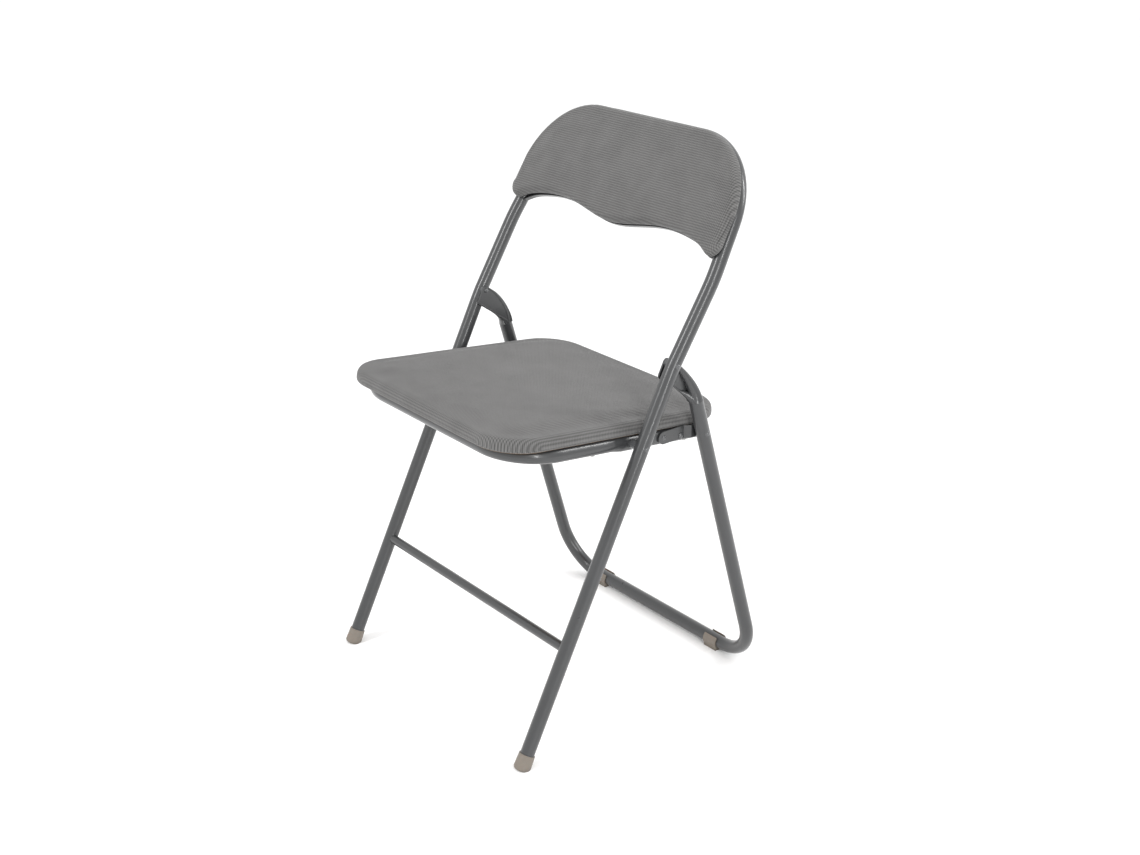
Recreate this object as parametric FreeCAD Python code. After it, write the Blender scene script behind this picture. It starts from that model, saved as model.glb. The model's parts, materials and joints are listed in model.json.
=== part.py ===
import FreeCAD, Part
import math
import os

# Folding chair: a bent tube main frame (front legs and back in one U), a second U for the rear legs,
# a padded seat on its own U, and a link on each side that folds the rear legs as the seat swings up.
# Millimetres. +X is the sitter's left, -Y is the chair's front, +Z is up, and the floor is at Z = 0.
# The chair is drawn open, with Y = 0 where the front leg axes meet the floor, and centred at the end.

V = FreeCAD.Vector
X_AXIS = V(1, 0, 0)
ORIGIN = V(0, 0, 0)

# ---- driving dimensions -------------------------------------------------------------------------
TUBE_R = 10.0            # outer radius of the three bent tubes
TUBE_WALL = 1.2
SHEET = 1.0              # back panel sheet

# main frame
LEG_LEAN = 26.04         # front legs, degrees back from upright
BACK_LEAN = 31.26        # upper part, degrees back from upright
LEG_LENGTH = 571.5       # floor to the knee, along the leg
BACK_LENGTH = 311.8      # knee to the top bar's axis
FOOT_HALF = 219.2        # half the distance between leg axes at the floor
KNEE_HALF = 219.6
SHOULDER_HALF = 221.6    # the same at the shoulder, where the sides start to lean in
SHOULDER_UP = 128.0      # knee to shoulder
TOP_HALF = 201.3         # the same where the sides' lines meet the top bar's
TOP_BEND_R = 120.0
KNEE_BEND_R = 220.0
SHOULDER_BEND_R = 260.0
LEG_END = 9.0            # the tube stops this far short of the floor, inside its cap

# front stretcher
STRETCHER_R = 6.8
STRETCHER_WALL = 1.0
STRETCHER_ALONG = 172.4  # from the floor, along the leg

# rear legs
REAR_LEAN = 16.6         # degrees forward from upright
REAR_HALF = 218.5
REAR_BEND_R = 71.0
GLIDE_DROP = 2.0         # glide thickness under the rear bar
PLATE_END_DISTANCE = 24.3   # how far forward of the leg axis the pivot lies
PLATE_START = 70.0       # the tube starts to flatten this far below the pivot
PLATE_THICK = 2.6
PLATE_HALF_WIDTH = 15.0
PLATE_END_R = 6.2        # round corners of the end, the upper one about the pivot
WASHER_THICK = 1.15      # between the flattened end and the main leg, where they are closest
PLATE_CURVE = 1.85       # how late the flattened end curves forward
PLATE_INNER_BY = 0.6     # shares of its length where it lies fully inwards and is fully wide
PLATE_WIDE_BY = 0.8
PLATE_BEAD = 0.25        # how far the plate's edges stand out of its faces
REAR_EDGE = (0.92, 0.9)  # share of the length where each edge is fully thin, and how fast it thins
FRONT_EDGE = (0.4, 1.0)
PLATE_STEPS = 14

# pivots along the main leg, from the floor
REAR_PIVOT_ALONG = LEG_LENGTH + 5.5
SEAT_PIVOT_ALONG = LEG_LENGTH - 111.1
LINK_REAR_BELOW = 123.0  # rear pivot to the link's rear pivot, both on the rear leg
PIN_R = 3.0
RUNNING_CLEARANCE = 0.06
SIDE_CLEARANCE = 0.05
RIVET_HEAD_R = 3.9
RIVET_HEAD_H = 2.1
SPACER_R = 6.5

# seat, in its own frame: U backwards from the pivot, H upwards from the rail axis
SEAT_SLOPE = 5.2         # degrees down to the rear
RAIL_TO_LEG = 10.5       # gap between the rail's flat side and the main leg
RAIL_FRONT = 185.5       # pivot to the front run's axis
RAIL_REAR = 122.0        # pivot to the rail's open end
RAIL_BEND_R = 69.0
PRESS_START = 30.0       # the rail is pressed flat-sided from this far ahead of the pivot
PRESS_LENGTH = 16.0
PRESSED_HALF_X = TUBE_R - 1.5
PRESSED_HALF_H = TUBE_R + 1.0
PRESSED_OUTWARD = 0.5    # how far outwards of the rail axis the pressed stretch's centre lies
SEAT_HALF = 199.0
SEAT_FRONT = 212.0
SEAT_REAR = 177.0
SEAT_CORNER_R = 62.0
SEAT_THICK = 19.5
SEAT_EDGE_R = 8.0
BOARD_THICK = 6.0
BOARD_INSET = 4.0
BOARD_SIDE_GAP = 0.3
CUSHION_LIFT = 0.5       # gap between the rails' top and the cushion's underside
SCREW_SEAT_AT = (-60.0, 101.0)
SCREW_R = 2.0
SCREW_HEAD_R = 4.5
SCREW_HEAD_H = 2.2
SCREW_BITE = 4.0         # screw length inside a board

# links
LINK_THICK = 2.5
LINK_R = 9.0
LINK_RAIL_GAP = 0.4
LINK_LEG_GAP = 0.4
STOP_PIN_BEHIND = 30.8   # link front pivot to stop pin, along the rail
STOP_PIN_GAP = 0.4       # under the stop pin's head
NOTCH_GAP = 0.9          # round the stop pin in the link's notch
STOP_HEAD_R = 4.2
JOGGLE_START = 36.0
JOGGLE_END = 44.0
BUTTON_R = 3.8
BUTTON_H = 1.7

# back
BACK_HALF = 224.0
BACK_TOP = BACK_LENGTH + 5.2    # above the knee, along the back
BACK_CORNER_R = 115.0
BACK_GAP = 0.4           # between the tube's front and the cushion
BACK_THICK = 17.5
BACK_EDGE_R = 5.0
BACK_BOARD_THICK = 4.0
BACK_BOARD_INSET = 12.0
PANEL_BOW = 5.0
PANEL_FRONT = 6.0        # panel's centre, forward of the tube axis plane
LIP_THICK = 1.6          # turned-back lower edge of the panel
LIP_DEPTH = 6.5
DIMPLE_R = 12.0
DIMPLE_FLOOR_R = 7.5
PANEL_SCREWS = ((0.0, BACK_LENGTH - 53.8), (160.0, BACK_LENGTH - 81.8), (-160.0, BACK_LENGTH - 81.8))

# lower edge of the back: distance from the middle and height above the knee, one side
WAVE = ((212.0, 153.6), (201.0, 158.0), (165.0, 169.5), (116.0, 174.0), (58.0, 167.0))
WAVE_MIDDLE = 159.0
WAVE_SIDE = (221.3, 160.0)
WAVE_START = 178.0

# feet
CAP_LENGTH = 21.0
CAP_TOP_WALL = 1.3
CAP_FOOT_WALL = 2.1
CAP_EDGE_R = 4.5
CAP_DROP = 2.5           # the cap's end, before its floor flat, lies this far below the floor
GLIDE_AT = 133.0
GLIDE_LENGTH = 26.0
GLIDE_WALL = 2.2
GLIDE_OPEN = 8.0         # half the slot along the glide's top

# ---- derived places in the side plane, as (y, z) ----------------------------------------------


def direction(angle):
    """Unit vector leaning back from upright by the angle in degrees."""
    turn = math.radians(angle)
    return (math.sin(turn), math.cos(turn))


def leg_half(along):
    """Half the distance between the leg axes at a distance up the leg from the floor."""
    return FOOT_HALF + (KNEE_HALF - FOOT_HALF) * along / LEG_LENGTH


LEG_DIR = direction(LEG_LEAN)
BACK_DIR = direction(BACK_LEAN)
REAR_DIR = direction(-REAR_LEAN)
KNEE = (LEG_LENGTH * LEG_DIR[0], LEG_LENGTH * LEG_DIR[1])
REAR_PIVOT = (REAR_PIVOT_ALONG * LEG_DIR[0], REAR_PIVOT_ALONG * LEG_DIR[1])
SEAT_PIVOT = (SEAT_PIVOT_ALONG * LEG_DIR[0], SEAT_PIVOT_ALONG * LEG_DIR[1])

# rear bar: on the leg axis, which passes behind the rear pivot, at the height of tube and glide
BAR_Z = TUBE_R + GLIDE_DROP
AXIS_FOOT = (REAR_PIVOT[0] + PLATE_END_DISTANCE * REAR_DIR[1],
             REAR_PIVOT[1] - PLATE_END_DISTANCE * REAR_DIR[0])
REAR_LENGTH = (AXIS_FOOT[1] - BAR_Z) / REAR_DIR[1]
BAR = (AXIS_FOOT[0] - REAR_LENGTH * REAR_DIR[0], BAR_Z)
LINK_REAR_UP = REAR_LENGTH - math.sqrt(LINK_REAR_BELOW ** 2 - PLATE_END_DISTANCE ** 2)
LINK_REAR = (BAR[0] + LINK_REAR_UP * REAR_DIR[0], BAR[1] + LINK_REAR_UP * REAR_DIR[1])

# middle of the rear leg's flattened end, from its pivot, in the rear leg's frame
PLATE_MIDDLE = tuple((PLATE_END_R - PLATE_HALF_WIDTH) * d for d in direction(LEG_LEAN + REAR_LEAN))

SEAT_FOLD = 90.0 + LEG_LEAN - SEAT_SLOPE    # seat parallel to the front legs
REAR_FOLD = LEG_LEAN + REAR_LEAN            # rear legs parallel to the front legs


def turned(point, centre, angle):
    """A side-plane point turned about a centre, right-handed about +X, in degrees."""
    turn = math.radians(angle)
    dy = point[0] - centre[0]
    dz = point[1] - centre[1]
    return (centre[0] + dy * math.cos(turn) - dz * math.sin(turn),
            centre[1] + dy * math.sin(turn) + dz * math.cos(turn))


def link_front_distance():
    """Distance behind the seat pivot that gives the link one length both open and folded."""
    folded = turned(LINK_REAR, REAR_PIVOT, -REAR_FOLD)
    open_from = (LINK_REAR[0] - SEAT_PIVOT[0], LINK_REAR[1] - SEAT_PIVOT[1])
    folded_from = (folded[0] - SEAT_PIVOT[0], folded[1] - SEAT_PIVOT[1])
    rail_open = (math.cos(math.radians(SEAT_SLOPE)), -math.sin(math.radians(SEAT_SLOPE)))
    rail_folded = turned(rail_open, (0, 0), -SEAT_FOLD)
    squares = open_from[0] ** 2 + open_from[1] ** 2 - folded_from[0] ** 2 - folded_from[1] ** 2
    along = (rail_open[0] * open_from[0] + rail_open[1] * open_from[1]
             - rail_folded[0] * folded_from[0] - rail_folded[1] * folded_from[1])
    return squares / (2 * along)


def on_seat(u, h):
    """Side-plane point from a place in the seat's own frame."""
    slope = math.radians(SEAT_SLOPE)
    return (SEAT_PIVOT[0] + u * math.cos(slope) + h * math.sin(slope),
            SEAT_PIVOT[1] - u * math.sin(slope) + h * math.cos(slope))


LINK_FRONT_U = link_front_distance()
LINK_FRONT = on_seat(LINK_FRONT_U, 0)
LINK_LENGTH = math.hypot(LINK_REAR[0] - LINK_FRONT[0], LINK_REAR[1] - LINK_FRONT[1])
LINK_ANGLE = math.degrees(math.atan2(LINK_REAR[1] - LINK_FRONT[1], LINK_REAR[0] - LINK_FRONT[0]))

# the stack of parts between the rail and the main leg, as X on one side
RAIL_SIDE = leg_half(SEAT_PIVOT_ALONG) - TUBE_R - RAIL_TO_LEG
PRESSED_X = RAIL_SIDE - PRESSED_HALF_X
RAIL_HALF = PRESSED_X - PRESSED_OUTWARD
PRESSED_H = TUBE_R - PRESSED_HALF_H
LINK_FRONT_IN = RAIL_SIDE + LINK_RAIL_GAP
LINK_FRONT_OUT = LINK_FRONT_IN + LINK_THICK
LINK_REAR_OUT = REAR_HALF - TUBE_R - LINK_LEG_GAP
LINK_REAR_IN = LINK_REAR_OUT - LINK_THICK
PLATE_OUTER_X = leg_half(REAR_PIVOT_ALONG) - TUBE_R - WASHER_THICK - SIDE_CLEARANCE
PLATE_INNER_X = PLATE_OUTER_X - PLATE_THICK
HOLE_R = PIN_R + RUNNING_CLEARANCE


# ---- shape helpers -------------------------------------------------------------------------------


def rounded_path(points, bends):
    """Polyline whose inner corners are arcs of the given radii."""
    edges = []
    start = points[0]
    for corner, after, radius in zip(points[1:-1], points[2:], bends):
        before = (corner - start).normalize()
        ahead = (after - corner).normalize()
        turn = before.getAngle(ahead)
        reach = radius * math.tan(turn / 2)
        arc_start = corner - before * reach
        arc_end = corner + ahead * reach
        inward = (ahead - before).normalize()
        middle = corner + inward * (radius / math.cos(turn / 2) - radius)
        edges.append(Part.LineSegment(start, arc_start).toShape())
        edges.append(Part.Arc(arc_start, middle, arc_end).toShape())
        start = arc_end
    edges.append(Part.LineSegment(start, points[-1]).toShape())
    return Part.Wire(edges)


def sweep(path, radius):
    """Round bar along a path."""
    first = path.Edges[0]
    begin = first.valueAt(first.FirstParameter)
    along = first.tangentAt(first.FirstParameter)
    profile = Part.Wire(Part.Circle(begin, along, radius).toShape())
    return path.makePipeShell([profile], True, False)


def bar_x(x0, x1, place, radius):
    """Round bar along X between two values, at a side-plane place."""
    low = min(x0, x1)
    return Part.makeCylinder(radius, abs(x1 - x0), V(low, place[0], place[1]), X_AXIS)


def dome(base, along, radius, height):
    """Rivet or screw head: a spherical cap on a flat base, rising along a direction."""
    ball_r = (radius ** 2 + height ** 2) / (2 * height)
    half_turn = math.asin(radius / ball_r) / 2
    out = along.cross(V(0, 0, 1) if abs(along.z) < 0.9 else X_AXIS).normalize()
    rim = base + out * radius
    top = base + along * height
    centre = top - along * ball_r
    middle = centre + along * ball_r * math.cos(half_turn) + out * ball_r * math.sin(half_turn)
    profile = [
        Part.LineSegment(base, rim).toShape(),
        Part.Arc(rim, middle, top).toShape(),
        Part.LineSegment(top, base).toShape(),
    ]
    return Part.Face(Part.Wire(profile)).revolve(base, along, 360)


def head_x(x, place, side, radius=RIVET_HEAD_R, height=RIVET_HEAD_H):
    """Domed head whose base is at x, pointing along X to the given side."""
    return dome(V(x, place[0], place[1]), V(side, 0, 0), radius, height)


def capsule(first, second, radius, x0, x1):
    """Flat plate with two round ends, in the side plane, between two X values."""
    along = V(0, second[0] - first[0], second[1] - first[1]).normalize()
    across = V(0, -along.z, along.y) * radius
    a = V(x0, first[0], first[1])
    b = V(x0, second[0], second[1])
    edges = [
        Part.LineSegment(a + across, b + across).toShape(),
        Part.Arc(b + across, b + along * radius, b - across).toShape(),
        Part.LineSegment(b - across, a - across).toShape(),
        Part.Arc(a - across, a - along * radius, a + across).toShape(),
    ]
    return Part.Face(Part.Wire(edges)).extrude(V(x1 - x0, 0, 0))


def mirrored(shape):
    return shape.mirror(ORIGIN, X_AXIS)


def pair(shape):
    """The shape and its mirror image, as separate solids."""
    return Part.makeCompound([shape, mirrored(shape)])


def rounded_rectangle(half, front, rear, radius, low, thick):
    """Slab with round corners in the seat's own frame."""
    edges = []
    corners = ((half, rear), (half, -front), (-half, -front), (-half, rear))
    points = []
    for index, (x, y) in enumerate(corners):
        before = corners[index - 1]
        after = corners[(index + 1) % 4]
        into = V(before[0] - x, before[1] - y, 0).normalize()
        out = V(after[0] - x, after[1] - y, 0).normalize()
        corner = V(x, y, low)
        centre = corner + (into + out) * radius
        middle = centre + (corner - centre).normalize() * radius
        points.append((corner + into * radius, middle, corner + out * radius))
    for index, (begin, middle, end) in enumerate(points):
        edges.append(Part.Arc(begin, middle, end).toShape())
        edges.append(Part.LineSegment(end, points[(index + 1) % 4][0]).toShape())
    return Part.Face(Part.Wire(edges)).extrude(V(0, 0, thick))


def place_seat(shape):
    """From the seat's own frame, X, U and H, to the chair."""
    placed = shape.copy()
    placed.rotate(ORIGIN, X_AXIS, -SEAT_SLOPE)
    placed.translate(V(0, SEAT_PIVOT[0], SEAT_PIVOT[1]))
    return placed


def place_back(shape):
    """From the back's own frame, X, rearwards and up from the knee, to the chair."""
    placed = shape.copy()
    placed.rotate(ORIGIN, X_AXIS, -BACK_LEAN)
    placed.translate(V(0, KNEE[0], KNEE[1]))
    return placed


def place_rear(shape):
    """From the rear leg's own frame, X, rearwards and up from the bar, to the chair."""
    placed = shape.copy()
    placed.rotate(ORIGIN, X_AXIS, REAR_LEAN)
    placed.translate(V(0, BAR[0], BAR[1]))
    return placed


# ---- main frame ---------------------------------------------------------------------------------


def main_frame_path():
    """Axis of the main U, from one foot over the top to the other."""
    def leg_point(along):
        return V(leg_half(along), along * LEG_DIR[0], along * LEG_DIR[1])

    def back_point(half, up):
        return V(half, KNEE[0] + up * BACK_DIR[0], KNEE[1] + up * BACK_DIR[1])

    side = [leg_point(LEG_END), leg_point(LEG_LENGTH), back_point(SHOULDER_HALF, SHOULDER_UP),
            back_point(TOP_HALF, BACK_LENGTH)]
    other = [V(-p.x, p.y, p.z) for p in reversed(side)]
    bends = [KNEE_BEND_R, SHOULDER_BEND_R, TOP_BEND_R]
    return rounded_path(side + other, bends + bends[::-1])


def main_frame(outer, path):
    """Tube with the rivet holes of both pivots."""
    tube = outer.cut(sweep(path, TUBE_R - TUBE_WALL))
    for along, place in ((REAR_PIVOT_ALONG, REAR_PIVOT), (SEAT_PIVOT_ALONG, SEAT_PIVOT)):
        half = leg_half(along)
        hole = bar_x(half - 2 * TUBE_R, half + 2 * TUBE_R, place, PIN_R)
        tube = tube.cut(hole).cut(mirrored(hole))
    return tube


def front_stretcher(outer):
    """Thin cross tube, trimmed to the legs."""
    place = (STRETCHER_ALONG * LEG_DIR[0], STRETCHER_ALONG * LEG_DIR[1])
    half = leg_half(STRETCHER_ALONG)
    tube = bar_x(-half, half, place, STRETCHER_R)
    bore = bar_x(-half, half, place, STRETCHER_R - STRETCHER_WALL)
    return tube.cut(bore).cut(outer)


def foot_cap(outer):
    """Moulded cap around a front leg's end, with a flat where it stands on the floor."""
    along = V((KNEE_HALF - FOOT_HALF) / LEG_LENGTH, LEG_DIR[0], LEG_DIR[1]).normalize()
    foot = V(FOOT_HALF, 0, 0)
    wide = TUBE_R + CAP_FOOT_WALL
    cap = Part.makeCone(wide, TUBE_R + CAP_TOP_WALL, CAP_LENGTH + CAP_DROP, foot - along * CAP_DROP, along)
    floor_edge = [e for e in cap.Edges if e.BoundBox.ZMax < CAP_LENGTH / 2 and e.Closed]
    cap = cap.makeFillet(CAP_EDGE_R, floor_edge)
    below = Part.makeBox(6 * wide, 6 * wide, 6 * wide, V(FOOT_HALF - 3 * wide, -3 * wide, -6 * wide))
    return cap.cut(below).cut(outer)


# ---- back ----------------------------------------------------------------------------------------


def panel_depth(x):
    """Place of the bowed panel's rear face, rearwards of the tube axis plane."""
    return PANEL_BOW * (x / SHOULDER_HALF) ** 2 - PANEL_FRONT


def wave_points(half, inset, depth):
    """Lower edge of the back from one side to the other, moved in and up by the inset."""
    scale = half / BACK_HALF
    side = [V(half, 0, WAVE_START), V(WAVE_SIDE[0] * scale, 0, WAVE_SIDE[1] + inset)]
    side += [V(x * scale, 0, z + inset) for x, z in WAVE]
    points = side + [V(0, 0, WAVE_MIDDLE + inset)] + [V(-p.x, 0, p.z) for p in reversed(side)]
    return [V(p.x, depth(p.x), p.z) for p in points]


def wave_curve(points):
    curve = Part.BSplineCurve()
    curve.interpolate(Points=points)
    return curve.toShape()


def back_outline(half, top, radius, inset):
    """Face of the back's outline: wavy lower edge, straight sides, large round top corners."""
    lower = wave_curve(wave_points(half, inset, lambda x: 0))
    diagonal = radius * math.sqrt(0.5)
    right = V(half, 0, top - radius)
    left = V(-half, 0, top - radius)
    arc_right = Part.Arc(right, V(half - radius + diagonal, 0, top - radius + diagonal),
                         V(half - radius, 0, top))
    arc_left = Part.Arc(V(radius - half, 0, top), V(radius - half - diagonal, 0, top - radius + diagonal),
                        left)
    edges = [
        lower,
        Part.LineSegment(V(-half, 0, WAVE_START), left).toShape(),
        arc_left.toShape(),
        Part.LineSegment(V(radius - half, 0, top), V(half - radius, 0, top)).toShape(),
        arc_right.toShape(),
        Part.LineSegment(right, V(half, 0, WAVE_START)).toShape(),
    ]
    return Part.Face(Part.Wire(Part.__sortEdges__(edges)))


def back_board():
    """Board inside the back cushion, against the front of the tube."""
    outline = back_outline(BACK_HALF - BACK_BOARD_INSET, BACK_TOP - BACK_BOARD_INSET,
                           BACK_CORNER_R - BACK_BOARD_INSET, BACK_BOARD_INSET)
    board = outline.extrude(V(0, -BACK_BOARD_THICK, 0))
    board.translate(V(0, -TUBE_R, 0))
    for x, z in PANEL_SCREWS:
        board = board.cut(Part.makeCylinder(SCREW_R, 2 * TUBE_R, V(x, 0, z), V(0, -1, 0)))
    return place_back(board)


def back_cushion():
    """Padded cover of the back, wrapped round the board's edge, its front stepped in at the rim."""
    straight = BACK_THICK - BACK_EDGE_R
    rim = back_outline(BACK_HALF, BACK_TOP, BACK_CORNER_R, 0).extrude(V(0, -straight, 0))
    face = back_outline(BACK_HALF - BACK_EDGE_R, BACK_TOP - BACK_EDGE_R,
                        BACK_CORNER_R - BACK_EDGE_R, BACK_EDGE_R).extrude(V(0, -BACK_THICK, 0))
    pad = rim.fuse(face)
    pad.translate(V(0, -TUBE_R - BACK_GAP, 0))
    inset = BACK_BOARD_INSET - BOARD_SIDE_GAP
    pocket = back_outline(BACK_HALF - inset, BACK_TOP - inset, BACK_CORNER_R - inset, inset)
    pocket = pocket.extrude(V(0, -BACK_BOARD_THICK - TUBE_R, 0))
    return place_back(pad.cut(pocket))


def dimple_tip(x):
    """Depth of a dimple from the panel's rear face to the board."""
    return panel_depth(x) + TUBE_R


def back_panel(outer):
    """Bowed sheet inside the U, with a rolled lower lip and a dimple for each screw."""
    half = SHOULDER_HALF
    ends = [V(-half, panel_depth(half), 0), V(0, panel_depth(0), 0), V(half, panel_depth(half), 0)]
    shift = V(0, -SHEET, 0)
    strip = Part.Face(Part.Wire([
        Part.Arc(*ends).toShape(),
        Part.LineSegment(ends[2], ends[2] + shift).toShape(),
        Part.Arc(*[p + shift for p in reversed(ends)]).toShape(),
        Part.LineSegment(ends[0] + shift, ends[0]).toShape(),
    ])).extrude(V(0, 0, BACK_LENGTH + TUBE_R))
    inside = back_outline(KNEE_HALF, BACK_LENGTH, TOP_BEND_R, 0)
    above_lip = back_outline(KNEE_HALF, BACK_LENGTH, TOP_BEND_R, LIP_THICK)
    lip = inside.cut(above_lip).extrude(V(0, LIP_DEPTH, 0))
    lip.translate(V(0, -PANEL_FRONT - SHEET, 0))
    shape = inside.extrude(V(0, 4 * TUBE_R, 0))
    shape.translate(V(0, -2 * TUBE_R, 0))
    panel = strip.common(shape)
    forward = V(0, -1, 0)
    for x, z in PANEL_SCREWS:
        deep = dimple_tip(x)
        rim = V(x, panel_depth(x), z)
        opening = Part.makeCylinder(DIMPLE_R - SHEET, 4 * TUBE_R, V(x, 2 * TUBE_R, z), forward)
        cup = Part.makeCone(DIMPLE_R, DIMPLE_FLOOR_R, deep, rim, forward)
        hollow = Part.makeCone(DIMPLE_R - SHEET, DIMPLE_FLOOR_R - SHEET, deep - SHEET, rim, forward)
        hole = Part.makeCylinder(SCREW_R, 2 * TUBE_R, V(x, TUBE_R, z), forward)
        panel = panel.cut(opening).fuse(cup.cut(hollow).cut(hole))
    return place_back(panel.fuse(lip)).cut(outer)


def back_screws():
    """Screws from the dimples into the board."""
    screws = []
    forward = V(0, -1, 0)
    for x, z in PANEL_SCREWS:
        seat = V(x, SHEET - TUBE_R, z)
        shank = Part.makeCylinder(SCREW_R, SHEET + BACK_BOARD_THICK, seat, forward)
        head = dome(seat, -forward, SCREW_HEAD_R, SCREW_HEAD_H)
        screws.append(place_back(head.fuse(shank)))
    return Part.makeCompound(screws)


# ---- rear legs -----------------------------------------------------------------------------------


def plate_station(share):
    """Middle of the flattened end at a share of its length: place, tilt forward, and half width."""
    forward = PLATE_END_DISTANCE - PLATE_MIDDLE[0]
    rise = PLATE_START + PLATE_MIDDLE[1]
    place = (-forward * share ** PLATE_CURVE, REAR_LENGTH - PLATE_START + rise * share)
    tilt = math.atan2(forward * PLATE_CURVE * share ** (PLATE_CURVE - 1), rise)
    return place, tilt, TUBE_R + (PLATE_HALF_WIDTH - TUBE_R) * min(1, share / PLATE_WIDE_BY)


def plate_inner(share):
    """X of the flattened end's inner side at a share of its length."""
    tube_in = REAR_HALF - TUBE_R
    return tube_in + (PLATE_INNER_X - PLATE_BEAD - tube_in) * min(1, share / PLATE_INNER_BY)


def horn(side, flat_at, power):
    """One beaded edge of the flattened end, tapering from the full tube to the plate."""
    thin = PLATE_THICK / 2 + PLATE_BEAD
    rings = []
    for step in range(PLATE_STEPS + 1):
        share = step / PLATE_STEPS
        (y, z), turn, half_width = plate_station(share)
        radius = thin + (TUBE_R - thin) * max(0, 1 - share / flat_at) ** power
        spread = half_width - radius
        centre = V(plate_inner(share) + radius, y + side * spread * math.cos(turn),
                   z + side * spread * math.sin(turn))
        normal = V(0, -math.sin(turn), math.cos(turn))
        rings.append(Part.Wire(Part.Circle(centre, normal, radius).toShape()))
    return Part.makeLoft(rings, True, True)


def plate_web():
    """Sheet between the beaded edges of the flattened end."""
    sections = []
    for step in range(PLATE_STEPS + 1):
        share = step / PLATE_STEPS
        (y, z), turn, half_width = plate_station(share)
        reach = half_width - PLATE_THICK
        low = plate_inner(share) + PLATE_BEAD
        across = V(0, reach * math.cos(turn), reach * math.sin(turn))
        begin = V(low, y, z)
        end = V(low + PLATE_THICK, y, z)
        sections.append(Part.makePolygon([begin - across, begin + across, end + across, end - across,
                                          begin - across]))
    return Part.makeLoft(sections, True, True)


def leg_plate():
    """Flattened top end of a rear leg, curving forward from the tube to the pivot."""
    upper = (-PLATE_END_DISTANCE, REAR_LENGTH)
    lower = (upper[0] + 2 * PLATE_MIDDLE[0], upper[1] + 2 * PLATE_MIDDLE[1])
    end = capsule(upper, lower, PLATE_END_R + PLATE_BEAD, PLATE_INNER_X, PLATE_OUTER_X)
    return plate_web().fuse([end, horn(1, *REAR_EDGE), horn(-1, *FRONT_EDGE)])


def rear_leg_outer():
    """Rear U as a round bar, up to where its ends are flattened."""
    top = REAR_LENGTH - PLATE_START
    points = [V(REAR_HALF, 0, top), V(REAR_HALF, 0, 0), V(-REAR_HALF, 0, 0), V(-REAR_HALF, 0, top)]
    path = rounded_path(points, [REAR_BEND_R, REAR_BEND_R])
    return sweep(path, TUBE_R), sweep(path, TUBE_R - TUBE_WALL)


def rear_leg_frame(outer, inner):
    plate = leg_plate()
    frame = outer.fuse(plate).fuse(mirrored(plate)).cut(inner)
    pivot = Part.makeCylinder(HOLE_R, 2 * TUBE_R, V(PLATE_INNER_X - TUBE_R, -PLATE_END_DISTANCE, REAR_LENGTH),
                              X_AXIS)
    rivet = Part.makeCylinder(PIN_R, 4 * TUBE_R, V(REAR_HALF - 2 * TUBE_R, 0, LINK_REAR_UP), X_AXIS)
    for hole in (pivot, rivet):
        frame = frame.cut(hole).cut(mirrored(hole))
    return place_rear(frame)


def rear_glide(outer):
    """Saddle clipped round the rear bar, flat underneath and slotted on top."""
    ring_r = TUBE_R + GLIDE_WALL
    low = GLIDE_AT - GLIDE_LENGTH / 2
    ring = bar_x(low, low + GLIDE_LENGTH, BAR, ring_r)
    foot = Part.makeBox(GLIDE_LENGTH, 2 * TUBE_R, BAR_Z, V(low, BAR[0] - TUBE_R, 0))
    slot = Part.makeBox(GLIDE_LENGTH, 2 * GLIDE_OPEN, 2 * ring_r, V(low, BAR[0] - GLIDE_OPEN, BAR_Z))
    below = Part.makeBox(GLIDE_LENGTH, 4 * ring_r, ring_r, V(low, BAR[0] - 2 * ring_r, -ring_r))
    return ring.fuse(foot).removeSplitter().cut(slot).cut(below).cut(outer)


# ---- seat ----------------------------------------------------------------------------------------


def split_section(x, h, y, radius, side_half, flat, side_bulge):
    """Closed outline in four edges: arcs over and under, and a side edge on each side, bulged or straight."""
    rise = math.sqrt(radius ** 2 - side_half ** 2)
    edges = []
    for side in (1, -1):
        begin = V(x + side * side_half, y, h + side * (flat + rise))
        end = V(x - side * side_half, y, h + side * (flat + rise))
        below = V(x - side * side_half, y, h - side * (flat + rise))
        edges.append(Part.Arc(begin, V(x, y, h + side * (flat + radius)), end).toShape())
        if side_bulge:
            edges.append(Part.Arc(end, V(x - side * radius, y, h), below).toShape())
        else:
            edges.append(Part.LineSegment(end, below).toShape())
    return Part.Wire(edges)


def pressed_section(shrink, y):
    """Flat-sided outline of the pressed rail at one station."""
    radius = PRESSED_HALF_X - shrink
    return split_section(PRESSED_X, PRESSED_H, y, radius, radius, PRESSED_HALF_H - PRESSED_HALF_X, False)


def round_section(shrink, y):
    """Round outline of the rail, split where the pressed one is."""
    return split_section(RAIL_HALF, 0, y, TUBE_R - shrink, PRESSED_HALF_X - shrink, 0, True)


def seat_rail_solid(shrink):
    """The seat's U with its pressed ends, as a solid bar."""
    start = -PRESS_START
    points = [V(RAIL_HALF, start, 0), V(RAIL_HALF, -RAIL_FRONT, 0),
              V(-RAIL_HALF, -RAIL_FRONT, 0), V(-RAIL_HALF, start, 0)]
    bar = sweep(rounded_path(points, [RAIL_BEND_R, RAIL_BEND_R]), TUBE_R - shrink)
    pressed_from = start + PRESS_LENGTH
    change = Part.makeLoft([round_section(shrink, start), pressed_section(shrink, pressed_from)], True, True)
    pressed = Part.Face(pressed_section(shrink, pressed_from)).extrude(V(0, RAIL_REAR - pressed_from, 0))
    end = change.fuse(pressed)
    return bar.fuse(end).fuse(mirrored(end))


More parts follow.
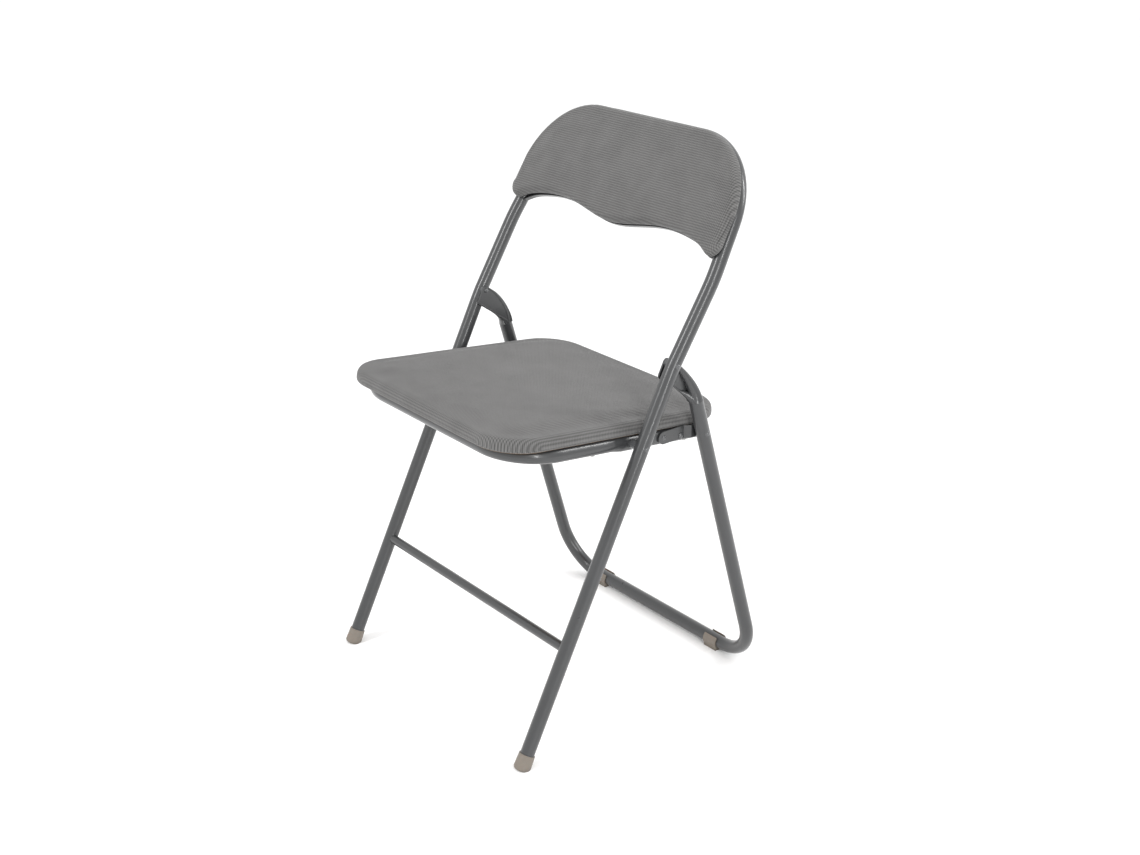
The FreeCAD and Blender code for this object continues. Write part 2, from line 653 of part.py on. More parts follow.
def seat_frame_tube():
    """Seat tube with holes for its pivots, rivets and screws."""
    tube = seat_rail_solid(0).cut(seat_rail_solid(TUBE_WALL))
    across = ((0, 0, HOLE_R), (LINK_FRONT_U, 0, PIN_R), (LINK_FRONT_U + STOP_PIN_BEHIND, PRESSED_H, PIN_R))
    for u, h, radius in across:
        hole = Part.makeCylinder(radius, 4 * TUBE_R, V(PRESSED_X - 2 * TUBE_R, u, h), X_AXIS)
        tube = tube.cut(hole).cut(mirrored(hole))
    for u in SCREW_SEAT_AT:
        hole = Part.makeCylinder(SCREW_R, 4 * TUBE_R, V(RAIL_HALF, u, -2 * TUBE_R), V(0, 0, 1))
        tube = tube.cut(hole).cut(mirrored(hole))
    return place_seat(tube)


def seat_board():
    """Flat board that rests on the seat tube."""
    board = rounded_rectangle(SEAT_HALF - BOARD_INSET, SEAT_FRONT - BOARD_INSET, SEAT_REAR - BOARD_INSET,
                              SEAT_CORNER_R - BOARD_INSET, TUBE_R, BOARD_THICK)
    for u in SCREW_SEAT_AT:
        hole = Part.makeCylinder(SCREW_R, SCREW_BITE, V(RAIL_HALF, u, TUBE_R), V(0, 0, 1))
        board = board.cut(hole).cut(mirrored(hole))
    return place_seat(board)


def seat_cushion():
    """Padded cover of the seat, wrapped round the board's edge."""
    low = TUBE_R + CUSHION_LIFT
    pad = rounded_rectangle(SEAT_HALF, SEAT_FRONT, SEAT_REAR, SEAT_CORNER_R, low, SEAT_THICK)
    upper = [e for e in pad.Edges if e.BoundBox.ZMin > low + SEAT_THICK / 2]
    pad = pad.makeFillet(SEAT_EDGE_R, upper)
    lower = [e for e in pad.Edges if e.BoundBox.ZMax < low + 0.1]
    pad = pad.makeFillet(SEAT_EDGE_R / 2, lower)
    inset = BOARD_INSET - BOARD_SIDE_GAP
    pocket = rounded_rectangle(SEAT_HALF - inset, SEAT_FRONT - inset, SEAT_REAR - inset,
                               SEAT_CORNER_R - inset, 0, TUBE_R + BOARD_THICK)
    return place_seat(pad.cut(pocket))


def seat_screws():
    """Screws up through the rails into the board."""
    screws = []
    up = V(0, 0, 1)
    rail = seat_rail_solid(0)
    for u in SCREW_SEAT_AT:
        under = PRESSED_H - PRESSED_HALF_H if u > 0 else -TUBE_R
        base = V(RAIL_HALF, u, under + SCREW_HEAD_H / 2)
        head = dome(base, -up, SCREW_HEAD_R, SCREW_HEAD_H * 1.5).cut(rail)
        shank = Part.makeCylinder(SCREW_R, TUBE_R + SCREW_BITE - under, V(RAIL_HALF, u, under), up)
        screw = head.fuse(shank)
        screws += [place_seat(screw), place_seat(mirrored(screw))]
    return Part.makeCompound(screws)


# ---- links and their pins ------------------------------------------------------------------------


def link():
    """Joggled side link, hooked over the stop pin when the chair is open."""
    xs = (LINK_FRONT_IN, LINK_FRONT_OUT)
    xr = (LINK_REAR_IN, LINK_REAR_OUT)
    far = LINK_LENGTH + 2 * LINK_R
    outline = [(xs[0], -2 * LINK_R), (xs[0], JOGGLE_START), (xr[0], JOGGLE_END), (xr[0], far),
               (xr[1], far), (xr[1], JOGGLE_END), (xs[1], JOGGLE_START), (xs[1], -2 * LINK_R)]
    corners = [V(x, y, -2 * LINK_R) for x, y in outline]
    strip = Part.Face(Part.makePolygon(corners + corners[:1])).extrude(V(0, 0, 4 * LINK_R))
    plate = strip.common(capsule((0, 0), (LINK_LENGTH, 0), LINK_R, 0, 2 * REAR_HALF))
    stop = turned(on_seat(LINK_FRONT_U + STOP_PIN_BEHIND, PRESSED_H), LINK_FRONT, -LINK_ANGLE)
    stop = (stop[0] - LINK_FRONT[0], stop[1] - LINK_FRONT[1])
    leave = turned(stop, (0, 0), -math.degrees(math.asin((LINK_R + PIN_R) / math.hypot(*stop))))
    notch = capsule(stop, leave, PIN_R + NOTCH_GAP, 0, 2 * REAR_HALF)
    plate = plate.cut(notch)
    plate = plate.cut(bar_x(0, 2 * REAR_HALF, (0, 0), HOLE_R))
    plate = plate.cut(bar_x(0, 2 * REAR_HALF, (LINK_LENGTH, 0), PIN_R))
    plate.rotate(ORIGIN, X_AXIS, LINK_ANGLE)
    plate.translate(V(0, LINK_FRONT[0], LINK_FRONT[1]))
    return plate


def link_front_rivet():
    """Rivet in the rail that the link's front end turns on."""
    head_at = LINK_FRONT_OUT + SIDE_CLEARANCE
    pin = bar_x(PRESSED_X - PRESSED_HALF_X, head_at, LINK_FRONT, PIN_R)
    inner = head_x(PRESSED_X - PRESSED_HALF_X, LINK_FRONT, -1)
    return pin.fuse(head_x(head_at, LINK_FRONT, 1)).fuse(inner)


def stop_pin():
    """Headed pin in the rail that the link's notch rests on."""
    place = on_seat(LINK_FRONT_U + STOP_PIN_BEHIND, PRESSED_H)
    head_at = LINK_FRONT_OUT + STOP_PIN_GAP
    pin = bar_x(PRESSED_X - PRESSED_HALF_X, head_at, place, PIN_R)
    inner = head_x(PRESSED_X - PRESSED_HALF_X, place, -1)
    return pin.fuse(head_x(head_at, place, 1, STOP_HEAD_R)).fuse(inner)


def link_rear_rivet():
    """Outer part of the rivet between rear leg and link: head and shank in the leg."""
    inside = REAR_HALF - TUBE_R
    outside = REAR_HALF + TUBE_R
    pin = bar_x(inside, outside + RIVET_HEAD_H / 4, LINK_REAR, PIN_R)
    drop = TUBE_R - math.sqrt(TUBE_R ** 2 - RIVET_HEAD_R ** 2)
    head = head_x(outside - drop, LINK_REAR, 1, height=RIVET_HEAD_H + drop)
    below = V(REAR_HALF, LINK_REAR[0] - 2 * TUBE_R * REAR_DIR[0], LINK_REAR[1] - 2 * TUBE_R * REAR_DIR[1])
    leg = Part.makeCylinder(TUBE_R, 4 * TUBE_R, below, V(0, REAR_DIR[0], REAR_DIR[1]))
    return pin.fuse(head.cut(leg))


def link_tail_button():
    """Inner part of the same rivet: button and stub that stay with the link."""
    stub = bar_x(LINK_REAR_IN, LINK_REAR_OUT, LINK_REAR, PIN_R)
    return stub.fuse(head_x(LINK_REAR_IN, LINK_REAR, -1, BUTTON_R, BUTTON_H))


# ---- pivots on the main frame --------------------------------------------------------------------


def leg_rivet(along, place, inner_x, outer):
    """Rivet through a main leg, with one head outside and one at the inner end."""
    outside = leg_half(along) + TUBE_R
    drop = TUBE_R - math.sqrt(TUBE_R ** 2 - RIVET_HEAD_R ** 2)
    head = head_x(outside - drop, place, 1, height=RIVET_HEAD_H + drop).cut(outer)
    pin = bar_x(inner_x, outside + RIVET_HEAD_H / 4, place, PIN_R)
    return pin.fuse(head).fuse(head_x(inner_x, place, -1, BUTTON_R, BUTTON_H))


def leg_spacer(along, place, inner_x, outer):
    """Washer between a main leg and the part that turns on it, dished to the tube."""
    ring = bar_x(inner_x, leg_half(along), place, SPACER_R)
    return ring.cut(bar_x(inner_x, leg_half(along), place, PIN_R)).cut(outer)


# ---- the chair -------------------------------------------------------------------------------------


def chair():
    """All sub-parts by node name, with Y = 0 at the front feet."""
    path = main_frame_path()
    main_outer = sweep(path, TUBE_R)
    rear_outer, rear_inner = rear_leg_outer()
    rear_placed = place_rear(rear_outer)
    cap = foot_cap(main_outer)
    glide = rear_glide(rear_placed)
    side_link = link()
    button = link_tail_button()
    rear_inner_x = PLATE_INNER_X - PLATE_BEAD - SIDE_CLEARANCE
    seat_inner_x = PRESSED_X - PRESSED_HALF_X - SIDE_CLEARANCE
    return {
        "main_frame_tube": main_frame(main_outer, path),
        "front_stretcher": front_stretcher(main_outer),
        "front_foot_cap_left": cap,
        "front_foot_cap_right": mirrored(cap),
        "back_panel": back_panel(main_outer),
        "back_board": back_board(),
        "back_cushion": back_cushion(),
        "back_screws": back_screws(),
        "rear_leg_pivot_rivets": pair(leg_rivet(REAR_PIVOT_ALONG, REAR_PIVOT, rear_inner_x, main_outer)),
        "rear_leg_washers": pair(leg_spacer(REAR_PIVOT_ALONG, REAR_PIVOT,
                                            PLATE_OUTER_X + PLATE_BEAD + SIDE_CLEARANCE, main_outer)),
        "seat_pivot_rivets": pair(leg_rivet(SEAT_PIVOT_ALONG, SEAT_PIVOT, seat_inner_x, main_outer)),
        "seat_pivot_spacers": pair(leg_spacer(SEAT_PIVOT_ALONG, SEAT_PIVOT,
                                              RAIL_SIDE + SIDE_CLEARANCE, main_outer)),
        "rear_leg_frame": rear_leg_frame(rear_outer, rear_inner),
        "rear_glide_left": glide,
        "rear_glide_right": mirrored(glide),
        "link_rear_rivets": pair(link_rear_rivet()),
        "seat_frame_tube": seat_frame_tube(),
        "seat_board": seat_board(),
        "seat_cushion": seat_cushion(),
        "seat_screws": seat_screws(),
        "link_front_rivets": pair(link_front_rivet()),
        "link_stop_pins": pair(stop_pin()),
        "link_left": side_link,
        "link_right": mirrored(side_link),
        "link_tail_button_left": button,
        "link_tail_button_right": mirrored(button),
    }


def main():
    os.makedirs("parts", exist_ok=True)
    parts = chair()
    whole = Part.makeCompound(list(parts.values())).optimalBoundingBox(False, False)
    to_middle = V(0, -(whole.YMin + whole.YMax) / 2, 0)
    for node, shape in parts.items():
        placed = shape.copy()
        placed.translate(to_middle)
        placed.exportStep("parts/" + node + ".step")


main()
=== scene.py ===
import json
import math

import bmesh
import bpy
import numpy as np
from mathutils import Matrix, Vector
from mathutils.bvhtree import BVHTree


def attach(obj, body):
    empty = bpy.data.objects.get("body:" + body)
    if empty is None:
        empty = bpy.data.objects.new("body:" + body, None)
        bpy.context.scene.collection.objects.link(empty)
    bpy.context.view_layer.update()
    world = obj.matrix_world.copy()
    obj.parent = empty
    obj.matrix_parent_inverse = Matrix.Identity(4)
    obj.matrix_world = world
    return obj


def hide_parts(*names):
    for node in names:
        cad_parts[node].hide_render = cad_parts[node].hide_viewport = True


# Looks of the folding chair: materials for the metal, plastic and wood, and the two ribbed cushions.
# Metres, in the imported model's frame: +X is the sitter's left, -Y the chair's front, +Z up.

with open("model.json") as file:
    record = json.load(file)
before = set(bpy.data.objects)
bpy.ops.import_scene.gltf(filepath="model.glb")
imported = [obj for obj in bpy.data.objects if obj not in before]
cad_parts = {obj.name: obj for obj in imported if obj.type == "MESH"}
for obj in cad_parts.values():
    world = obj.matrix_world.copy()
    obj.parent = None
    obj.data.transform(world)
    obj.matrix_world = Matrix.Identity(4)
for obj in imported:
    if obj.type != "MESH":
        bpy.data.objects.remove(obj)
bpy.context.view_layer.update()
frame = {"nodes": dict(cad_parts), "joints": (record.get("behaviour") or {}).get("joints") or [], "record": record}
NODES = frame["nodes"]

# ---- driving values ------------------------------------------------------------------------------
SEAT_SLOPE = 5.2           # degrees down to the rear
BACK_LEAN = 31.26          # degrees back from upright
RIB_PITCH = 0.0034
RIB_DEPTH = 0.00032
CROSS_PITCH = 0.0026
POINTS_PER_RIB = 6
OUTLINE_STATIONS = 240
EDGE_POINTS = 22
EDGE_FULLNESS = 2.3        # 2 is an elliptical edge, more is squarer

VOXEL = 0.005
CLOTH_FRAMES = 20
CLOTH_PRESSURE = 4.0
START_SHRINK = 0.97        # thickness of the pad that is inflated, as a share of the pad's
COARSE_STEP = 0.0045       # grid step along the ribs
CLOTH_SKIP = 6             # the cloth takes every sixth point across the ribs
WIDE_WINDOW = 14           # half widths, in grid points, over which the cloth's shift is smoothed
NARROW_WINDOW = 2
SMOOTH_PASSES = 3
SHIFT_FROM = 0.002         # distance from the rim where the cloth's shift sets in
SHIFT_OVER = 0.03          # and the distance over which it grows to its full size
POCKET_CLEARANCE = 0.0003  # round the board in the pad's underside
CREASE_ANGLE = 50          # edges sharper than this many degrees stay sharp

CAMERA_FROM_PIVOT = Vector((0.0, 0.0507, -0.0522))   # seat pivot to the point looked at
CAMERA_AZIMUTH = 52.07
CAMERA_ELEVATION = 21.69
CAMERA_DISTANCE = 2.3205
CAMERA_LENS = 50.6
SENSOR = 36.0


# ---- small helpers ---------------------------------------------------------------------------------


def tilted_axes(lean, along, thick):
    """3x3 array whose columns are X, the direction along a leaning pad and the one out of it."""
    turn = Matrix.Rotation(-math.radians(lean), 3, "X")
    return np.array([Vector((1, 0, 0)), turn @ Vector(along), turn @ Vector(thick)]).T


def node_points(node, axes):
    """A CAD node's vertices in the pad's own axes."""
    co = np.array([v.co for v in NODES[node].data.vertices], float)
    return co @ axes


def node_tree(node, axes):
    polygons = [list(p.vertices) for p in NODES[node].data.polygons]
    return BVHTree.FromPolygons([Vector(p) for p in node_points(node, axes)], polygons)


def link_object(name, mesh):
    obj = bpy.data.objects.new(name, mesh)
    bpy.context.scene.collection.objects.link(obj)
    return obj


def mesh_object(name, points, faces):
    mesh = bpy.data.meshes.new(name)
    mesh.from_pydata([tuple(p) for p in points], [], [tuple(f) for f in faces])
    mesh.validate()
    return link_object(name, mesh)


# ---- materials -------------------------------------------------------------------------------------


def new_material(name, **values):
    """Principled material with constant values on its own sockets."""
    material = bpy.data.materials.new(name)
    material.use_nodes = True
    shader = material.node_tree.nodes["Principled BSDF"]
    for socket, value in values.items():
        shader.inputs[socket.replace("_", " ")].default_value = value
    return material, material.node_tree, shader


def add_node(tree, kind, **settings):
    """New node, with attributes set by name and input sockets given as name=value pairs in `inputs`."""
    node = tree.nodes.new(kind)
    for name, value in settings.pop("inputs", {}).items():
        node.inputs[name].default_value = value
    for name, value in settings.items():
        setattr(node, name, value)
    return node


def math_node(tree, operation, first, second=None):
    """Math node whose operands are sockets or numbers; returns its output."""
    node = add_node(tree, "ShaderNodeMath", operation=operation)
    for index, value in enumerate((first, second)):
        if value is None:
            continue
        if isinstance(value, (int, float)):
            node.inputs[index].default_value = value
        else:
            tree.links.new(value, node.inputs[index])
    return node.outputs[0]


def noise(tree, scale, detail=3.0, roughness=0.55, stretch=(1, 1, 1)):
    """Noise in the piece's own coordinates; scale is in features per metre."""
    place = add_node(tree, "ShaderNodeTexCoord").outputs["Object"]
    mapping = add_node(tree, "ShaderNodeMapping", inputs={"Scale": stretch})
    tree.links.new(place, mapping.inputs["Vector"])
    node = add_node(tree, "ShaderNodeTexNoise",
                    inputs={"Scale": scale, "Detail": detail, "Roughness": roughness})
    tree.links.new(mapping.outputs["Vector"], node.inputs["Vector"])
    return node.outputs["Fac"]


def spread(tree, value, low, high):
    """Value from 0 to 1 mapped to a range."""
    node = add_node(tree, "ShaderNodeMapRange", inputs={"To Min": low, "To Max": high})
    tree.links.new(value, node.inputs["Value"])
    return node.outputs["Result"]


def shades(tree, value, *stops):
    """Colour ramp: stops are (place, colour)."""
    ramp = add_node(tree, "ShaderNodeValToRGB")
    elements = ramp.color_ramp.elements
    while len(elements) < len(stops):
        elements.new(1.0)
    for element, (place, colour) in zip(elements, stops):
        element.position = place
        element.color = (*colour, 1)
    tree.links.new(value, ramp.inputs["Fac"])
    return ramp.outputs["Color"]


def bump(tree, shader, *layers):
    """Bump from (height socket, distance in metres) layers, one after the other."""
    normal = None
    for height, distance in layers:
        node = add_node(tree, "ShaderNodeBump", inputs={"Strength": 1.0, "Distance": distance})
        tree.links.new(height, node.inputs["Height"])
        if normal is not None:
            tree.links.new(normal, node.inputs["Normal"])
        normal = node.outputs["Normal"]
    tree.links.new(normal, shader.inputs["Normal"])


def scaled(colour, share):
    return tuple(c * share for c in colour)


def painted_metal(name, colour, roughness):
    """Satin powder coat: slight orange peel, fine speckle and uneven gloss."""
    material, tree, shader = new_material(name, Metallic=0.0, Specular_IOR_Level=0.5,
                                          Coat_Weight=0.35, Coat_Roughness=0.16)
    broad = noise(tree, 14, 4)
    speckle = noise(tree, 1600, 2)
    tone = math_node(tree, "ADD", math_node(tree, "MULTIPLY", broad, 0.6),
                     math_node(tree, "MULTIPLY", speckle, 0.4))
    tree.links.new(shades(tree, tone, (0.3, scaled(colour, 0.9)), (0.7, scaled(colour, 1.1))),
                   shader.inputs["Base Color"])
    tree.links.new(spread(tree, noise(tree, 60, 4), roughness - 0.06, roughness + 0.06),
                   shader.inputs["Roughness"])
    bump(tree, shader, (noise(tree, 420, 2), 0.00005), (speckle, 0.000012))
    return material


def moulded_plastic(name, colour):
    """Slightly grainy moulded plastic, darker towards the floor and in random blotches."""
    material, tree, shader = new_material(name, Specular_IOR_Level=0.45, Subsurface_Weight=0.03)
    place = add_node(tree, "ShaderNodeTexCoord").outputs["Object"]
    apart = add_node(tree, "ShaderNodeSeparateXYZ")
    tree.links.new(place, apart.inputs[0])
    # Darker over the lowest 6 mm, towards the floor.
    floor = add_node(tree, "ShaderNodeMapRange",
                     inputs={"From Min": 0.0, "From Max": 0.006, "To Min": 0.45, "To Max": 0.0})
    tree.links.new(apart.outputs["Z"], floor.inputs["Value"])
    floor_darkening_and_blotches = math_node(tree, "ADD", floor.outputs["Result"],
                     math_node(tree, "MULTIPLY", noise(tree, 240, 5), 0.5))
    tree.links.new(shades(tree, floor_darkening_and_blotches, (0.15, scaled(colour, 1.08)), (0.45, scaled(colour, 0.95)),
                          (0.9, scaled(colour, 0.5))), shader.inputs["Base Color"])
    tree.links.new(spread(tree, noise(tree, 300, 3), 0.42, 0.6), shader.inputs["Roughness"])
    bump(tree, shader, (noise(tree, 1500, 3), 0.00006), (noise(tree, 130, 2), 0.0001))
    return material


def fibre_board(name, colour):
    """Pressed board with short fibres."""
    material, tree, shader = new_material(name, Specular_IOR_Level=0.25)
    fibres = noise(tree, 420, 6, 0.7, (1, 0.18, 1))
    tones = shades(tree, fibres, (0.3, scaled(colour, 0.6)), (0.5, colour), (0.72, scaled(colour, 1.45)))
    tree.links.new(tones, shader.inputs["Base Color"])
    tree.links.new(spread(tree, fibres, 0.7, 0.9), shader.inputs["Roughness"])
    bump(tree, shader, (fibres, 0.00012))
    return material


def plated_steel(name, colour):
    """Zinc plated screw steel with fine turning marks."""
    material, tree, shader = new_material(name, Metallic=1.0)
    marks = noise(tree, 900, 4, 0.6, (1, 1, 0.2))
    tones = shades(tree, marks, (0.3, scaled(colour, 0.8)), (0.7, colour))
    tree.links.new(tones, shader.inputs["Base Color"])
    tree.links.new(spread(tree, marks, 0.25, 0.45), shader.inputs["Roughness"])
    bump(tree, shader, (marks, 0.00003))
    return material


def attribute(tree, name):
    return add_node(tree, "ShaderNodeAttribute", attribute_name=name).outputs["Fac"]


def wave(tree, value, pitch):
    """0 in the grooves to 1 on the ribs, for a distance in metres."""
    turned = math_node(tree, "MULTIPLY", value, 2 * math.pi / pitch)
    return math_node(tree, "ADD", math_node(tree, "MULTIPLY", math_node(tree, "COSINE", turned), 0.5), 0.5)


def ribbed_fabric(name, colour):
    """Fine corduroy: ribs and cross threads with painted shade in their grooves (darker grooves, lighter ribs),
    and a soft mottled nap.
    """
    material, tree, shader = new_material(name, Specular_IOR_Level=0.12, Sheen_Weight=0.22,
                                          Sheen_Roughness=0.45)
    rib = wave(tree, attribute(tree, "rib_place"), RIB_PITCH)
    cross = wave(tree, attribute(tree, "cross_place"), CROSS_PITCH)
    fibres = noise(tree, 2600, 4, 0.7)
    nap = noise(tree, 26, 5, 0.6)
    # Painted shade: the colour is darker in the grooves of the ribs and cross threads and lighter on their tops.
    painted_groove_shade = math_node(tree, "ADD", math_node(tree, "MULTIPLY", rib, 0.38),
                      math_node(tree, "MULTIPLY", cross, 0.34))
    tone = math_node(tree, "ADD", math_node(tree, "MULTIPLY", fibres, 0.35),
                     math_node(tree, "MULTIPLY", nap, 0.35))
    tone = math_node(tree, "MULTIPLY", math_node(tree, "ADD", painted_groove_shade, tone), 0.72)
    tones = shades(tree, tone, (0.25, scaled(colour, 0.55)), (0.5, colour), (0.78, scaled(colour, 1.5)))
    tree.links.new(tones, shader.inputs["Base Color"])
    tree.links.new(spread(tree, fibres, 0.82, 0.98), shader.inputs["Roughness"])
    bump(tree, shader, (cross, 0.00022), (rib, 0.00012), (fibres, 0.00025))
    return material


FRAME_COLOUR = (0.036, 0.037, 0.0385)
# The rivets have the frame's grey paint; this lighter colour is painted highlight on their heads.
RIVET_COLOUR_WITH_PAINTED_HIGHLIGHT = (0.075, 0.077, 0.08)
CAP_COLOUR = (0.17, 0.146, 0.122)
BOARD_COLOUR = (0.16, 0.1, 0.055)
STEEL_COLOUR = (0.55, 0.55, 0.54)
FABRIC_COLOUR = (0.112, 0.1105, 0.109)

MATERIALS = {
    "frame_paint": painted_metal("frame_paint_satin", FRAME_COLOUR, 0.3),
    "rivet_paint": painted_metal("rivet_paint_satin_with_painted_highlight", RIVET_COLOUR_WITH_PAINTED_HIGHLIGHT, 0.26),
    "cap_plastic": moulded_plastic("cap_plastic_moulded", CAP_COLOUR),
    "board_wood": fibre_board("board_fibre", BOARD_COLOUR),
    "screw_steel": plated_steel("screw_plated", STEEL_COLOUR),
    "ribbed_fabric": ribbed_fabric("ribbed_fabric_grey", FABRIC_COLOUR),
}


def dress_cad_nodes():
    """Gives every CAD node the material of its slot."""
    for subpart in frame["record"]["subparts"]:
        mesh = NODES[subpart["node"]].data
        mesh.materials.clear()
        mesh.materials.append(MATERIALS[subpart["material_slot"]])


# ---- cushions ----------------------------------------------------------------------------------------


def edge_spaced(low, high, reach, middle):
    """Places from low to high: closer together near both ends, at the given places or count between."""
    reach = min(reach, (high - low) / 2.5)
    turns = np.linspace(0, math.pi / 2, EDGE_POINTS + 1)[:-1]
    rim = reach * (1 - np.cos(turns))
    inner = np.linspace(low + reach, high - reach, middle)
    return np.concatenate([low + rim, inner, (high - rim)[::-1]])


def outline_ends(tree, xs, level, span):
    """Lowest and highest place along the pad at each X, found on the CAD solid at a level out of it."""
    low, high = [], []
    for x in xs:
        hit = tree.ray_cast(Vector((x, span[0] - 1, level)), Vector((0, 1, 0)))[0]
        low.append(hit.y)
        hit = tree.ray_cast(Vector((x, span[1] + 1, level)), Vector((0, -1, 0)))[0]
        high.append(hit.y)
    return np.array(low), np.array(high)


def outline_loop(xs, low, high):
    """Closed polygon round the outline."""
    lower = np.stack([xs, low], 1)
    upper = np.stack([xs, high], 1)[::-1]
    return np.concatenate([lower, upper])


def rim_distance(points, loop):
    """Distance of each point from the outline's edge."""
    start = loop
    step = np.roll(loop, -1, 0) - loop
    length = (step ** 2).sum(1)
    keep = length > 1e-12
    start, step, length = start[keep], step[keep], length[keep]
    best = np.full(len(points), 1e9)
    for p, d, l in zip(start, step, length):
        away = points - p
        share = np.clip(away @ d / l, 0, 1)
        best = np.minimum(best, ((away - share[:, None] * d) ** 2).sum(1))
    return np.sqrt(best)


def rounded(distance, reach):
    """0 at the rim to 1 further in than the reach, as a round edge rises."""
    share = np.clip(1 - distance / reach, 0, 1)
    return (1 - share ** EDGE_FULLNESS) ** (1 / EDGE_FULLNESS)


def smoothed(field, passes):
    """Averages a grid of vectors along both directions, a pass being (axis, half width)."""
    for axis, half in passes:
        pads = [(0, 0)] * field.ndim
        pads[axis] = (half, half)
        wide = np.pad(field, pads, mode="edge")
        total = np.zeros_like(field)
        for shift in range(2 * half + 1):
            part = [slice(None)] * field.ndim
            part[axis] = slice(shift, shift + field.shape[axis])
            total += wide[tuple(part)]
        field = total / (2 * half + 1)
    return field


def inflate(name, points, faces, floor_level, cap):
    """Cloth under pressure: the pad remeshed, held along its underside, blown up, its movement capped."""
    obj = mesh_object(name, points, faces)
    bpy.context.view_layer.objects.active = obj
    obj.select_set(True)
    obj.data.remesh_voxel_size = VOXEL
    bpy.ops.object.voxel_remesh()
    mesh = obj.data
    rest = np.array([v.co for v in mesh.vertices], float)
    held = obj.vertex_groups.new(name="held")
    held.add([i for i, p in enumerate(rest) if p[2] < floor_level + VOXEL / 2], 1.0, "REPLACE")
    cloth = obj.modifiers.new("cloth", "CLOTH")
    cloth.settings.quality = 5
    cloth.settings.use_pressure = True
    cloth.settings.uniform_pressure_force = CLOTH_PRESSURE
    cloth.settings.effector_weights.gravity = 0
    cloth.settings.vertex_group_mass = held.name
    cloth.point_cache.frame_start = 1
    cloth.point_cache.frame_end = CLOTH_FRAMES
    for step in range(1, CLOTH_FRAMES + 1):
        bpy.context.scene.frame_set(step)
    blown = obj.evaluated_get(bpy.context.evaluated_depsgraph_get())
    moved = np.array([v.co for v in blown.data.vertices], float) - rest
    size = np.linalg.norm(moved, axis=1, keepdims=True)
    moved *= np.minimum(1, cap / np.maximum(size, 1e-9))
    tree = BVHTree.FromPolygons([Vector(p) for p in rest + moved], [list(p.vertices) for p in mesh.polygons])
    bpy.data.objects.remove(obj)
    bpy.context.scene.frame_set(1)
    return tree


def arc_place(x, half, reach):
    """Distance over the surface from the middle to a place near a rounded rim."""
    over = np.clip((np.abs(x) - (half - reach)) / reach, 0, 1)
    return np.sign(x) * (np.minimum(np.abs(x), half - reach) + reach * np.arcsin(over))


def cut_pocket(pad, board, axes, clearance):
    """Hollows the pad's underside round its board."""
    own = node_points(board, axes)
    low, high = own.min(0), own.max(0)
    xs = edge_spaced(low[0] + 1e-5, high[0] - 1e-5, 0.05, 60)
    ends = outline_ends(node_tree(board, axes), xs, low[2] + 0.001, (low[1], high[1]))
    loop = outline_loop(xs, *ends)
    centre = (low[:2] + high[:2]) / 2
    grown = (high[:2] - low[:2] + 2 * clearance) / (high[:2] - low[:2])
    loop = centre + (loop - centre) * grown
    count = len(loop)
    below = np.column_stack([loop, np.full(count, low[2] - 0.01)])
    above = np.column_stack([loop, np.full(count, high[2] + clearance)])
    faces = [list(range(count))[::-1], [i + count for i in range(count)]]
    faces += [[i, (i + 1) % count, (i + 1) % count + count, i + count] for i in range(count)]
    cutter = mesh_object("pocket", np.concatenate([below, above]), faces)
    cut = pad.modifiers.new("pocket", "BOOLEAN")
    cut.operation = "DIFFERENCE"
    cut.solver = "EXACT"
    cut.object = cutter
    bpy.context.view_layer.update()
    hollow = bpy.data.meshes.new_from_object(pad.evaluated_get(bpy.context.evaluated_depsgraph_get()))
    pad.modifiers.clear()
    old = pad.data
    pad.data = hollow
    bpy.data.meshes.remove(old)
    bpy.data.objects.remove(cutter)


